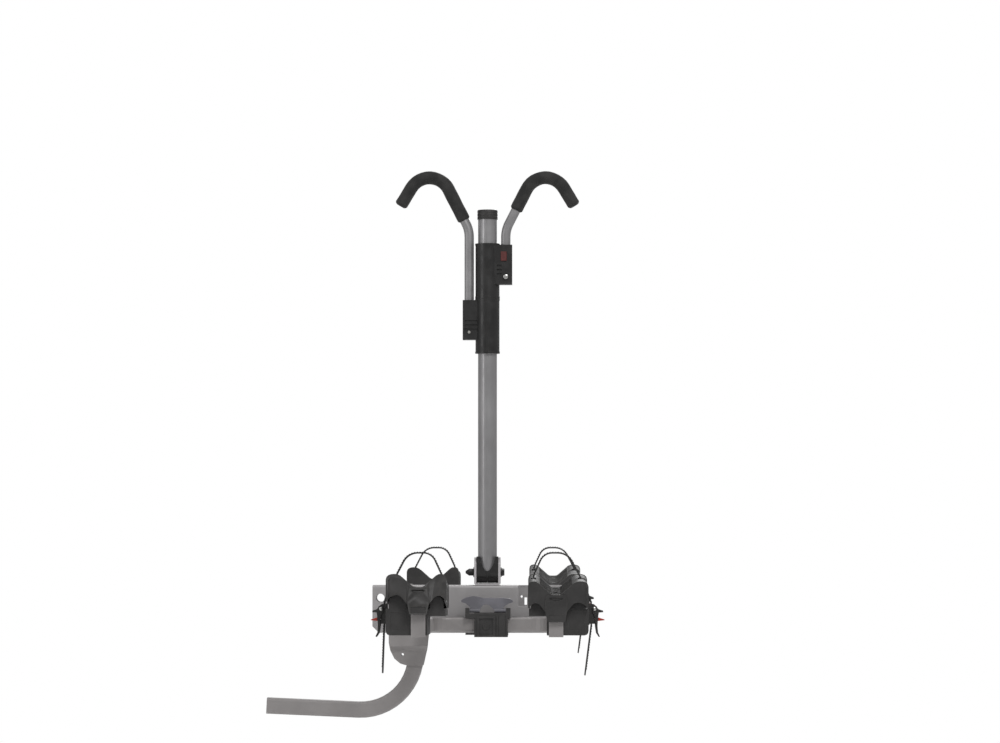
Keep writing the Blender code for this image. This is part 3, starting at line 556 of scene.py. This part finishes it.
def wheel_profile(lobe, proud=0.0):
    """The trough's upper profile across the leg, from its outer edge to its inner one."""
    rim = lobe - 10
    outer, inner, floor = CUP_OUT + proud, CUP_IN - proud, 232.5 + proud
    return [
        (outer, rim), (outer - 1.6, lobe - 5.2), (outer - 5, lobe - 2), (outer - 10, lobe - 0.4),
        (outer - 16, lobe), (outer - 21, lobe - 0.6), (33, lobe - 3), (11, floor + 2.2), (8, floor + 0.4),
        (5, floor), (-5, floor), (-8, floor + 0.4), (-11, floor + 2.2), (-33, lobe - 3),
        (inner + 14, lobe - 0.4), (inner + 9, lobe), (inner + 5.5, lobe - 0.7), (inner + 3, lobe - 2),
        (inner + 1, lobe - 5), (inner, rim),
    ]


def cup_trough(prefix, side_x, side_y):
    """V-shaped tyre channel: ribbed floor, swept end face with a raised tongue, panelled sides."""
    bench = Bench(tipped(corner_matrix(side_x, side_y), side_x * side_y * TROUGH_TIP))
    low, wall = 208.5, 3.5
    under = [
        (CUP_OUT - wall, 246), (CUP_OUT - 7.5, 251), (CUP_OUT - 16, 253), (34.5, 250.5), (9.5, 228.5),
        (-9.5, 228.5), (-34.5, 250.5), (CUP_IN + 9, 253), (CUP_IN + 6, 251), (CUP_IN + wall, 246),
    ]
    sheet = [(CUP_OUT, low)] + wheel_profile(257.0) + [(CUP_IN, low), (CUP_IN + wall, low)]
    sheet += under[::-1] + [(CUP_OUT - wall, low)]
    trough = bench.prism("trough", sheet, "y", (454, 662))

    outer, inner = CUP_OUT + 0.8, CUP_IN - 0.8
    front = [(outer, TROUGH_FOOT)] + wheel_profile(258.0, 0.8)
    front += [(inner, TROUGH_FOOT), (-46, 214), (-41, 217.5), (-36, 218), (-31, 215.5), (-26, 210)]
    front += [(-21, 203)]
    front += [(-20, 201), (20, 201), (21, 203), (27, 211), (32, 216.5), (38, 219), (44, 218.5), (52, 215)]
    plate = bench.prism("front", front, "y", (657.5, 666.2))
    sweeps = [
        bench.prism("sweep_out", [(20, 666.4), (70, 658.6), (70, 675), (20, 675)], "z", (150, 300)),
        bench.prism("sweep_in", [(-20, 666.4), (-70, 659.6), (-70, 675), (-20, 675)], "z", (150, 300)),
    ]
    cut(plate, *sweeps)
    rear = [(outer, TROUGH_FOOT)] + wheel_profile(258.0, 0.8)
    rear += [(inner, TROUGH_FOOT), (-22, 206), (-15, 190), (15, 190), (22, 206)]
    back = bench.prism("rear", rear, "y", (452, 456.2))
    tongue = [
        (17.5, 232.4), (20.5, 222), (20.5, 208), (19, 196), (16, 183), (-16, 183), (-19, 196),
        (-20.5, 208), (-20.5, 222), (-17.5, 232.4),
    ]
    spine = bench.prism("tongue", tongue, "y", (663.8, 667.9))
    v, z = TROUGH_AXIS
    lugs = [
        bench.box("lug", span, (v - 11, v + 11), (z - 9, 238)) for span in ((15.4, 19.5), (-19.5, -15.4))
    ]
    pivot = bench.rod("pivot", "x", (v, z), 3.0, (-20.5, 20.5), count=20)
    ribs = []
    for k in range(12):
        start = 466 + k * 16.4
        top = [(30, 253.2), (10.4, 235.6), (7, 233.9), (-7, 233.9), (-10.4, 235.6), (-30, 253.2)]
        base = [(-30, 249.5), (-8, 230.5), (8, 230.5), (30, 249.5)]
        ribs.append(bench.prism("rib", top + base, "y", (start, start + 3.2)))
    add(trough, plate, back, spine, *lugs, pivot, *ribs)

    smile = [
        (-13.5, 226.5), (-9, 223.2), (-4, 221.7), (4, 221.7), (9, 223.2), (13.5, 226.5),
        (9, 228.6), (-9, 228.6),
    ]
    pockets = [bench.prism("smile", smile, "y", (665.9, 670))]
    pockets.append(bench.box("step", (-14.2, 14.2), (667.0, 670), (185.5, 197)))
    for low_v, high_v in ((470, 505), (511, 546), (574, 609), (615, 648)):
        outline = [
            (low_v, 214), (high_v, 214), (high_v, 238), (high_v - 5, 243), (low_v + 5, 243), (low_v, 238),
        ]
        pockets.append(bench.prism("side_out", outline, "x", (CUP_OUT - 1.2, CUP_OUT + 3)))
        pockets.append(bench.prism("side_in", outline, "x", (CUP_IN - 3, CUP_IN + 1.2)))
    room = (v - STRAP_ROOM, v + STRAP_ROOM)
    pockets.append(bench.box("slot", (STRAP_ANCHOR - 5, STRAP_ANCHOR + 5), room, (225, 265)))
    pockets.append(bench.box("notch", (41, STRAP_U - 1), room, (214, 265)))
    for centre in (511.5, 608.5):
        pockets.append(bench.box("drain", (-3.2, 3.2), (centre - 9, centre + 9), (220, 240)))
    cut(trough, *pockets)
    soften(trough, 0.7, 2, 28)
    finish_piece(
        trough, f"{prefix}_tyre_channel", "black", "black_plastic", f"{prefix}_rocker", f"{prefix}_trough"
    )


def cup_base(prefix, side_x, side_y):
    """The saddle on the leg: arch-topped end panels, skirt, shelf and webbed pockets."""
    bench = Bench(corner_matrix(side_x, side_y))
    leg, leg_top, low = 13.0, 179.3, 151.5
    outline = [
        (CUP_IN + 1, 187), (-leg - 3.7, 187), (-leg - 3.7, low), (-leg, low), (-leg, leg_top),
        (leg, leg_top), (leg, low), (CUP_OUT - 7, low), (CUP_OUT - 2.5, low + 1.2), (CUP_OUT, low + 4.2),
        (CUP_OUT + 1, low + 9), (CUP_OUT + 1, 200), (CUP_IN + 1, 200),
    ]
    base = bench.prism("base", outline, "y", (SADDLE_START, SADDLE_END))
    v, z = TROUGH_AXIS
    out_arch = [(21.4, 196), (54.6, 196), (54.6, 212), (52, 219), (47, 223.8), (41, 226.2), (34, 226)]
    out_arch += [(28, 223.5), (23.5, 218), (21.4, 211)]
    in_arch = [(-21.4, 196), (-46.6, 196), (-46.4, 212), (-44.5, 218), (-40, 222.8), (-35.5, 224)]
    in_arch += [(-29, 221.5), (-23.6, 215), (-21.4, 209)]
    panels = [
        bench.prism("arch", arch, "y", span)
        for arch in (out_arch, in_arch) for span in ((645.0, 649.8), (462.2, 466))
    ]
    upstand = bench.box("upstand", (-15, 15), (v - 14, v + 14), (194, z + 8))
    add(base, upstand, *panels)
    pockets = [
        bench.box("pocket", (leg + 3.5, CUP_OUT - 2.5), (a, b), (140, 196))
        for a, b in ((465.5, 522), (524, 582), (584, 646.5))
    ]
    pockets += [
        bench.box("pocket", (CUP_IN + 4.5, -leg - 7), (a, b), (180, 196))
        for a, b in ((465.5, 522), (524, 582), (584, 646.5))
    ]
    pockets.append(bench.rod("bore", "x", (v, z), 3.3, (-30, 30), count=24))
    width = (v - STRAP_HALF_WIDTH - 1.5, v + STRAP_HALF_WIDTH + 1.5)
    pockets.append(bench.box("slot", (STRAP_ANCHOR - 3, STRAP_ANCHOR + 3), width, (190, 205)))
    panel = [(22, 160), (52, 160), (52, 194), (24, 194)]
    pockets.append(bench.prism("panel", panel, "y", (SADDLE_END - 0.8, SADDLE_END + 5)))
    cut(base, *pockets)
    soften(base, 0.8, 2)
    finish_piece(
        base, f"{prefix}_saddle", "black", "black_plastic",
        ("near" if side_y < 0 else "far") + "_wheels", f"{prefix}_base",
    )


def ladder_strap(prefix, side_x, side_y):
    """A moulded strap with saw teeth along its outer face and a rounded tip."""
    body = ("near" if side_y < 0 else "far") + "_wheels"
    bench = Bench(corner_matrix(side_x, side_y))
    v = TROUGH_AXIS[0]
    bottom, lean = (80.0, 3.0) if side_x < 0 else (76.0, -12.0)
    corners = [
        (STRAP_ANCHOR, 188), (STRAP_ANCHOR, 262), (-22, 304), (22, 304), (50, 250), (STRAP_U, 212),
        (STRAP_U, 170), (STRAP_U + lean, bottom),
    ]
    path = arc_corners(corners, [30.0, 24.0, 30.0, 60.0, 30.0, 60.0], steps=10)
    points, total = resampled(path, 1.25)
    rings = []
    pitch = 5.0
    for point, direction, along in points:
        across = Vector((-direction.y, direction.x))
        from_tip = min(total - along, 9.0) / 9.0
        half = STRAP_HALF_WIDTH * (0.35 + 0.65 * math.sqrt(max(0.0, 1 - (1 - from_tip) ** 2)))
        toothed = 1.0 if 40 < along < total - 10 else 0.0
        phase = (along % pitch) / pitch
        tooth = toothed * 1.25 * (phase / 0.75 if phase < 0.75 else (1 - phase) / 0.25)
        band = half * 0.66
        face = [
            (-half, -1.0), (-half + 0.5, -1.3), (half - 0.5, -1.3), (half, -1.0), (half, 1.0),
            (half - 0.5, 1.3), (band + 0.3, 1.3), (band, 1.3 + tooth), (-band, 1.3 + tooth),
            (-band - 0.3, 1.3), (-half + 0.5, 1.3), (-half, 1.0),
        ]
        ring = []
        for w, t in face:
            spot = point + across * t
            ring.append((spot.x, spot.y, v + w))
        rings.append(ring)
    # Path x is u, path y is z; the ring's third number is v
    strap = bench.lofted("strap", rings, "y")
    smooth(strap, 35)
    finish_piece(strap, f"{prefix}_ladder_strap", "strap", "black_strap", body, f"{prefix}_strap")
    bar = bench.turned(
        "bar", [(0, -16), (2.5, -16), (3, -15.5), (3, 15.5), (2.5, 16), (0, 16)],
        Matrix.Translation((STRAP_ANCHOR, v, 189)) @ Matrix.Rotation(math.pi / 2, 4, "X"), 20,
    )
    smooth(bar)
    finish_piece(bar, f"{prefix}_strap_bar", "strap", "black_strap", body)


def buckle(prefix, side_x, side_y):
    """Rivet heads on the buckle; the CAD frame, lever and tab keep their shape."""
    bench = Bench(corner_matrix(side_x, side_y))
    body = ("near" if side_y < 0 else "far") + "_wheels"
    v = TROUGH_AXIS[0]
    reuse(f"{prefix}_ratchet", "black", 0.5)
    reuse(f"{prefix}_lever", "black", 0.6)
    reuse(f"{prefix}_tab", "red", 0.5)
    for label, sign in (("outer", 1), ("inner", -1)):
        dome = [(0, 0), (3.6, 0), (3.6, 0.7), (2.6, 1.6), (0, 2.0)]
        turn = Matrix.Rotation(-sign * math.pi / 2, 4, "X")
        head = bench.turned(
            "head", dome, Matrix.Translation((71.5, v + sign * 18.6, 200.0)) @ turn, 20
        )
        smooth(head)
        finish_piece(head, f"{prefix}_{label}_lever_rivet", "zinc", "zinc_plate", body)
        small = bench.turned(
            "head", [(r * 0.75, h) for r, h in dome],
            Matrix.Translation((73.5, v + sign * 15.3, 181.0)) @ turn, 20,
        )
        smooth(small)
        finish_piece(small, f"{prefix}_{label}_tab_rivet", "zinc", "zinc_plate", body)


for prefix, side_x, side_y in CORNERS:
    cup_base(prefix, side_x, side_y)
    cup_trough(prefix, side_x, side_y)
    ladder_strap(prefix, side_x, side_y)
    buckle(prefix, side_x, side_y)


# Hooks and collars


def foam_sleeve(prefix, label, mirror, start_along, body):
    """A slit foam tube: soft rolled ends, a glued seam along its inner side and shallow dents."""
    bench = Bench(Matrix.Scale(-1, 4, (1, 0, 0)) if mirror else Matrix())
    knee, peak = Vector(ARM_KNEE), Vector(HOOK_PEAK)
    start = knee + (peak - knee).normalized() * start_along
    path = arc_corners([start, HOOK_PEAK, HOOK_END], [43.0], 12)
    points, total = resampled(path, 1.6)
    count = 40
    rings = []
    for point, direction, along in points:
        across = Vector((-direction.y, direction.x))
        end = min(along, total - along)
        rounding = 1 - 0.32 * max(0.0, 1 - end / 5.0) ** 2
        ring = []
        for i in range(count):
            turn = 2 * math.pi * i / count
            seam = math.exp(-((turn - math.pi) / 0.09) ** 2)
            spot = Vector((along * 0.035, math.cos(turn) * 0.8, math.sin(turn) * 0.8))
            dent = noise.noise(spot * 1.7 + Vector((prefix == "left", 3.1, 0))) * 0.45
            radius = FOAM_RADIUS * rounding - 0.35 + min(dent, 0.3) - 0.9 * seam
            place = point + across * (radius * math.cos(turn))
            ring.append((place.x, place.y, radius * math.sin(turn)))
        rings.append(ring)
    foam = bench.lofted("foam", rings, "y")
    smooth(foam, 50)
    finish_piece(foam, f"{label}_foam_sleeve", "foam", "black_foam", body, f"{prefix}_foam")


def collar(label, top, turned, body):
    """Sliding sleeve: rolled rims, a side block with three rib windows, flutes and a seam lug."""
    name = f"{label}_collar"
    bench = Bench(Matrix.Rotation(math.pi, 4, "Z") if turned else Matrix())
    bottom = top - COLLAR_HEIGHT
    body_rod = bench.rod("sleeve", "z", (0, 0), 24.25, (bottom, top), 64)
    block_top, block_bottom = top - 3.0, top - 83.0
    block = bench.box("block", (14, 50), (-20, 13), (block_bottom, block_top))
    rims = [
        bench.rod("rim", "z", (0, 0), 24.9, (a, b), 64) for a, b in ((bottom, bottom + 4), (top - 4, top))
    ]
    seams = [bench.box("seam", (-1.6, 1.6), span, (bottom + 4, top - 4)) for span in ((23, 25.1),)]
    sleeve = add(body_rod, block, *rims, *seams)
    bolt_z = block_bottom + 15.0
    cutters = [
        bench.rod("stem", "z", (STEM_X, 0), 9.8, (block_bottom + 6, top + 5), 32),
        bench.rod("bore", "z", (0, 0), MAST_BORE, (bottom - 5, top + 5), 64),
        bench.rod("bolt", "y", (STEM_X, bolt_z), 3.3, (-25, 18), 24),
        bench.box("pocket", (26.7, 39.3), (-25, -12.5), (block_top - 33.3, block_top - 13.7)),
    ]
    for k in range(3):
        z = block_top - 43 - k * 8.5
        cutters.append(bench.box("window", (19, 29), (-25, -17.6), (z - 2.4, z + 2.4)))
        cutters.append(bench.box("window", (19, 46), (10.8, 18), (z - 2.4, z + 2.4)))
    cutters.append(bench.box("split", (46, 55), (-1.0, 1.0), (block_bottom - 3, block_top + 3)))
    for k in range(5):
        z = block_bottom + 8 + k * 15.0
        cutters.append(bench.box("notch", (48.6, 55), (-16, 9), (z - 1.1, z + 1.1)))
    cut(sleeve, *cutters)
    soften(sleeve, 0.8, 2, 30)
    finish_piece(sleeve, f"{label}_sliding_sleeve", "collar", "black_plastic", body, name)
    reuse(f"{label}_button", "dark_red", 0.5)
    reuse(f"{label}_block_bolt", "zinc", 0.4)
    socket = bench.turned(
        "socket",
        [(0, 0.15), (2.4, 0.15), (2.4, 0.3), (3.2, 0.9), (4.6, 0.4), (4.8, -1.2), (4.8, -2.0), (0, -2.0)],
        Matrix.Translation((STEM_X, -23.5, bolt_z)) @ Matrix.Rotation(math.pi / 2, 4, "X"), 24,
    )
    smooth(socket)
    finish_piece(socket, f"{label}_bolt_face", "zinc", "zinc_plate", body)


foam_sleeve("right", "upper", False, 44.0, "upper_carriage")
foam_sleeve("left", "lower", True, 20.7, "lower_carriage")
collar("upper", UPPER_COLLAR_TOP, False, "upper_carriage")
collar("lower", LOWER_COLLAR_TOP, True, "lower_carriage")
reuse("right_arm", "mast")
reuse("left_arm", "mast")


# Mast and spine


def mast_cap():
    profile = [
        (0, 998.6), (19.3, 998.6), (19.3, 981.4), (20.2, 981.4), (20.5, 982.0), (20.5, 986.6),
        (20.0, 987.0), (20.0, 988.0), (20.5, 988.4), (20.5, 993.0), (20.0, 993.4), (20.0, 994.4),
        (20.5, 994.8),
        (20.5, 998.4), (20.1, 999.9), (19.0, 1000.7), (16.0, 1001.0), (0, 1001.0),
    ]
    cap = Bench().turned("cap", profile, Matrix(), 64)
    smooth(cap, 35)
    finish_piece(cap, "mast_top_cap", "black", "black_plastic", "mast", "mast_cap")


mast_cap()
reuse("mast_tube", "mast")
reuse("mast_liner_left", "collar", 0.5)
reuse("mast_liner_right", "collar", 0.5)
reuse("mast_bracket", "bright", 0.7)
reuse("mast_bolt", "collar", 0.4)
reuse("mast_knob", "collar", 0.8)
reuse("spine", "spine", 0.5)
reuse("hitch_tube", "silver")
reuse("gusset_near", "silver", 0.5)
reuse("gusset_far", "silver", 0.5)
reuse("tilt_bolt", "zinc", 0.5)
reuse("tilt_nut", "zinc", 0.5)
reuse("tilt_pin", "zinc", 0.5)
for side in ("near", "far"):
    reuse(f"{side}_frame", "silver")
    reuse(f"{side}_sleeve", "zinc")


# Fold blocks and latch handles


def fold_block(side, sign):
    bench = Bench(side_matrix(sign))
    left, right = FRAME_X - 33.5, FRAME_X + 33.5
    y, z = LATCH_PIN
    block = bench.box("block", (left, right), (26.3, 73.6), (140, 188))
    frame_face = bench.box("frame_face", (-20, 16), (70, 75.9), (140.8, 181.2))
    side_face = bench.box("side_face", (19, right - 0.4), (70, 75.2), (141.5, 184))
    pieces = [frame_face, side_face]
    for low, high, foot, reach in ((-43.5, -35.5, left, 8), (38.5, 47.0, right, -8)):
        near, far = sorted((foot + reach, low if reach > 0 else high))
        pieces.append(bench.box("arm", (near, far), (y - 8, y + 8), (178, 187)))
        pieces.append(bench.box("lug", (low, high), (y - 7, y + 7), (180, z + 5)))
    pieces.append(bench.box("tab", (-43, left + 4), (69, 74.5), (144.5, 148.5)))
    add(block, *pieces)
    cutters = [
        bench.rod("bore", "x", (HINGE_Y, HINGE_Z), SLEEVE_BORE, (-60, 80), 48),
        bench.rod("latch_hole", "x", (y, z), 2.8, (-60, 80), 20),
        bench.box("recess", (-16.4, 12.4), (72.6, 80), (144.6, 177.6)),
        bench.box("groove", (22, 24), (73.8, 80), (142, 183)),
        bench.box("groove", (36, 38), (73.8, 80), (142, 183)),
    ]
    cut(block, *cutters)
    soften(block, 1.0, 2)
    finish_piece(block, f"{side}_fold_housing", "black", "black_plastic", "platform", f"{side}_block")
    boss = bench.turned(
        "boss", [(0, 72.0), (7.5, 72.0), (7.5, 73.4), (6.6, 74.2), (4.0, 74.2), (3.6, 73.4), (0, 73.4)],
        Matrix.Translation((-2, 0, 161)) @ AXES["y"], 32,
    )
    smooth(boss, 30)
    finish_piece(boss, f"{side}_housing_boss", "black", "black_plastic", "platform")


for side, sign in (("near", -1), ("far", 1)):
    fold_block(side, sign)
    reuse(f"{side}_latch", "grey", 1.6, 3)


# Camera, floor and light


def camera():
    lens = bpy.data.cameras.new("camera")
    lens.sensor_width = 36.0
    lens.lens = FOCAL_WIDTHS * lens.sensor_width
    lens.clip_end = 200.0
    eye = bpy.data.objects.new("camera", lens)
    eye.location = EYE
    eye.rotation_euler = (math.radians(90 + EYE_TILT), 0, math.radians(EYE_TURN))
    bpy.context.scene.collection.objects.link(eye)
    bpy.context.scene.camera = eye


def floor():
    bm = bmesh.new()
    bmesh.ops.create_circle(bm, cap_ends=True, segments=96, radius=FLOOR_RADIUS)
    mesh = bpy.data.meshes.new("floor")
    bm.to_mesh(mesh)
    bm.free()
    ground = bpy.data.objects.new("floor", mesh)
    ground.location = (MAST_X * MM, 0, FLOOR_LEVEL)
    material, tree, shader = new_material("floor")
    shader.inputs["Base Color"].default_value = (0.92, 0.92, 0.92, 1)
    shader.inputs["Roughness"].default_value = 0.9
    # The disc fades out towards its rim
    coordinates = node(tree, "ShaderNodeTexCoord")
    length = node(tree, "ShaderNodeVectorMath", operation="LENGTH")
    tree.links.new(coordinates.outputs["Object"], length.inputs[0])
    blend = node(tree, "ShaderNodeMixShader")
    tree.links.new(ramp(tree, length.outputs["Value"], 2.2, 3.9, 0.0, 1.0), blend.inputs["Fac"])
    tree.links.new(shader.outputs[0], blend.inputs[1])
    tree.links.new(node(tree, "ShaderNodeBsdfTransparent").outputs[0], blend.inputs[2])
    tree.links.new(blend.outputs[0], tree.nodes["Material Output"].inputs["Surface"])
    mesh.materials.append(material)
    bpy.context.scene.collection.objects.link(ground)


def area_light(name, place, target, size, power, colour=(1, 1, 1)):
    lamp = bpy.data.lights.new(name, "AREA")
    lamp.shape = "RECTANGLE"
    lamp.size, lamp.size_y = size
    lamp.energy = power
    lamp.color = colour
    obj = bpy.data.objects.new(name, lamp)
    obj.location = place
    obj.rotation_mode = "QUATERNION"
    obj.rotation_quaternion = (Vector(target) - Vector(place)).to_track_quat("-Z", "Y")
    bpy.context.scene.collection.objects.link(obj)


def lights():
    world = bpy.data.worlds.new("studio")
    bpy.context.scene.world = world
    world.use_nodes = True
    tree = world.node_tree
    background = tree.nodes["Background"]
    background.inputs["Color"].default_value = (1.0, 1.0, 1.0, 1.0)
    # A white backdrop that lights the row more softly than it looks
    path = node(tree, "ShaderNodeLightPath")
    strength = ramp(tree, path.outputs["Is Camera Ray"], 0.0, 1.0, 0.38, 1.0)
    tree.links.new(strength, background.inputs["Strength"])
    area_light("key", (1.6, -3.0, 3.6), LIT_CENTRE, (1.4, 1.4), 95)
    area_light("fill", (-2.8, -2.4, 1.6), LIT_CENTRE, (1.2, 2.2), 22)
    area_light("rim", (1.2, 3.0, 2.6), LIT_CENTRE, (1.8, 1.0), 60)


for old in [o for o in bpy.context.scene.objects if o.type in ("CAMERA", "LIGHT")]:
    bpy.data.objects.remove(old)
for old in [o for o in bpy.context.scene.objects if o.name == "Cube"]:
    bpy.data.objects.remove(old)
camera()
floor()
lights()
bpy.context.scene.view_settings.view_transform = "Standard"
